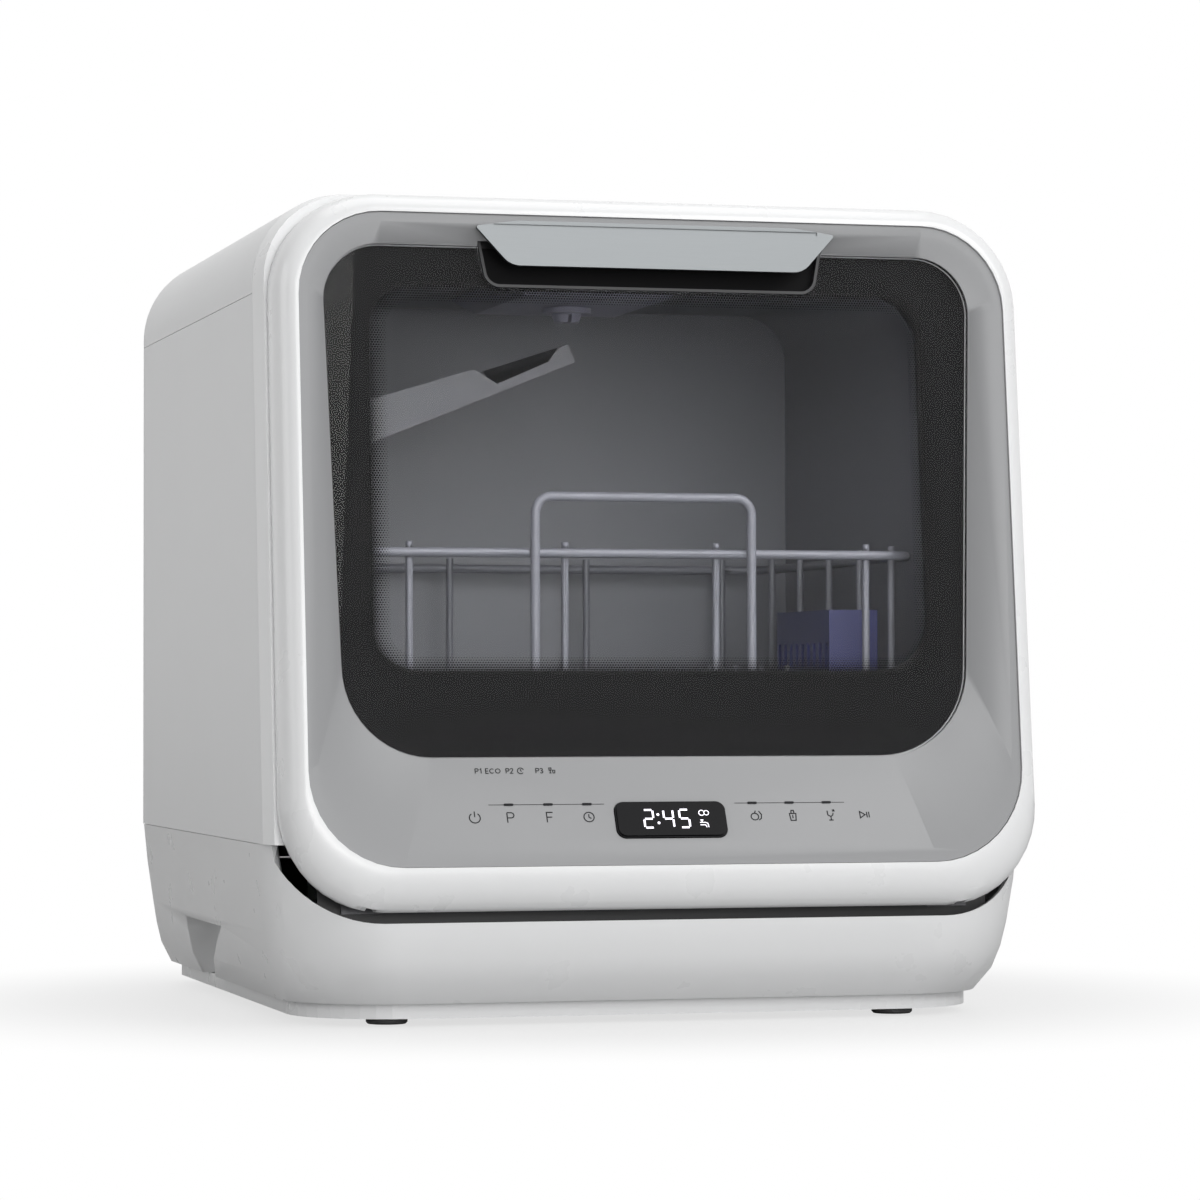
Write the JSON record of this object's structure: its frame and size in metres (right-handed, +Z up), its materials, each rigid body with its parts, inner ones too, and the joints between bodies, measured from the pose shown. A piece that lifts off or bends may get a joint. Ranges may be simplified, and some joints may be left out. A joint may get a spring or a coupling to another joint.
{
  "type": "countertop dishwasher",
  "caption": "Countertop dishwasher with a leaning glazed drop-down front door, grey control bezel, metal grip, wire basket, spray arm and cup shelf in a rounded white casing on a tapered base.",
  "frame": {"origin": "on the surface that the feet stand on, under the middle of the casing's width and depth", "axes": "+X to the right seen from the front, +Y from the door towards the back, +Z up"},
  "size_m": [0.42, 0.44, 0.438],
  "materials": {
    "arm_grey": "dark grey plastic",
    "basket_wire": "grey nylon coated wire",
    "board_green": "circuit board",
    "cutlery_blue": "dark blue grey plastic",
    "dark_trim": "dark grey plastic",
    "display_black": "gloss black display cover",
    "glass_clear": "clear glass",
    "glass_dark": "tinted glass with a black printed border",
    "grey_bezel": "grey satin lacquered plastic",
    "grip_metal": "fine brushed satin aluminium",
    "liner_grey": "grey moulded plastic",
    "nozzle_grey": "lavender grey plastic",
    "panel_white": "smooth white coated sheet",
    "roller_grey": "grey plastic",
    "rubber": "black rubber",
    "steel": "zinc plated steel",
    "tank_clear": "milky plastic",
    "tub_grey": "dark grey moulded plastic",
    "white_plastic": "satin white moulded plastic"
  },
  "bodies": {
    "casing": {"top_cover": "panel_white", "left_side_panel": "panel_white", "right_side_panel": "panel_white", "rear_cover": "panel_white", "front_frame": "white_plastic", "base_housing": "white_plastic", "base_pan": "white_plastic", "feet": "rubber", "drip_strip": "dark_trim", "kick_panel": "dark_trim", "tub": "tub_grey", "tub_gasket": "rubber", "hinge_bracket_left": "steel", "hinge_bracket_right": "steel", "latch_catch": "dark_trim", "ceiling_unit": "nozzle_grey", "ceiling_nozzle": "nozzle_grey", "basket_rail_left": "liner_grey", "basket_rail_right": "liner_grey", "shelf_bracket": "tub_grey", "sump": "dark_trim", "filter_plate": "steel", "filter_cup": "liner_grey", "spray_hub_post": "arm_grey", "wash_pump": "dark_trim", "drain_pump": "dark_trim", "heater": "steel", "water_tank": "tank_clear", "inlet_valve": "tank_clear", "drain_spigot": "dark_trim", "power_inlet": "dark_trim", "power_board": "board_green", "circulation_hose": "dark_trim", "casing_screws": "steel"},
    "door": {"door_frame": "white_plastic", "door_bezel": "grey_bezel", "door_glass": "glass_dark", "window_pane": "glass_clear", "door_liner": "liner_grey", "handle_plate": "grip_metal", "handle_pocket": "dark_trim", "display_window": "display_black", "touch_board": "board_green", "detergent_cup": "liner_grey", "latch_tongue": "steel", "hinge_arm_left": "steel", "hinge_arm_right": "steel", "hinge_pin_left": "steel", "hinge_pin_right": "steel"},
    "basket": {"basket": "basket_wire", "plate_rack": "basket_wire", "cutlery_basket": "cutlery_blue"},
    "roller_front_left": {"roller_front_left": "roller_grey"},
    "roller_front_right": {"roller_front_right": "roller_grey"},
    "roller_rear_left": {"roller_rear_left": "roller_grey"},
    "roller_rear_right": {"roller_rear_right": "roller_grey"},
    "spray_arm": {"spray_arm": "arm_grey"},
    "cup_shelf": {"cup_shelf": "tub_grey"},
    "latch_lever": {"latch_lever": "steel"}
  },
  "joints": [
    {"name": "door_hinge", "type": "hinge", "parent": "casing", "child": "door", "pos_m": [0, -0.20391, 0.075], "axis": [1, 0, 0], "range_deg": [0, 90]},
    {"name": "basket_slide", "type": "slide", "parent": "casing", "child": "basket", "axis": [0, -1, 0], "range_m": [0, 0.1201]},
    {"name": "spray_arm_spin", "type": "hinge", "parent": "casing", "child": "spray_arm", "pos_m": [0, -0.012, 0.113], "axis": [0, 0, 1], "continuous": true},
    {"name": "cup_shelf_lift", "type": "hinge", "parent": "casing", "child": "cup_shelf", "pos_m": [-0.168, -0.12091, 0.298], "axis": [0, -1, 0], "range_deg": [0, 14]},
    {"name": "roller_front_left_spin", "type": "hinge", "parent": "basket", "child": "roller_front_left", "pos_m": [-0.1635, -0.03591, 0.1369], "axis": [1, 0, 0], "range_deg": [0, 770]},
    {"name": "roller_front_right_spin", "type": "hinge", "parent": "basket", "child": "roller_front_right", "pos_m": [0.1635, -0.03591, 0.1369], "axis": [1, 0, 0], "range_deg": [0, 770]},
    {"name": "roller_rear_left_spin", "type": "hinge", "parent": "basket", "child": "roller_rear_left", "pos_m": [-0.1635, 0.10809, 0.1369], "axis": [1, 0, 0], "range_deg": [0, 770]},
    {"name": "roller_rear_right_spin", "type": "hinge", "parent": "basket", "child": "roller_rear_right", "pos_m": [0.1635, 0.10809, 0.1369], "axis": [1, 0, 0], "range_deg": [0, 770]},
    {"name": "latch_lever_lift", "type": "hinge", "parent": "casing", "child": "latch_lever", "pos_m": [0, -0.12986, 0.42479], "axis": [-1, 0, 0], "range_deg": [0, 5], "stiffness_Nm_per_rad": 0.02, "springref_deg": -17.19}
  ],
  "couplings": [
    {"joint": "basket_slide", "follows": "door_hinge", "m_per_rad": 0.076394},
    {"joint": "roller_front_left_spin", "follows": "door_hinge", "ratio": 8.4883},
    {"joint": "roller_front_right_spin", "follows": "door_hinge", "ratio": 8.4883},
    {"joint": "roller_rear_left_spin", "follows": "door_hinge", "ratio": 8.4883},
    {"joint": "roller_rear_right_spin", "follows": "door_hinge", "ratio": 8.4883}
  ]
}
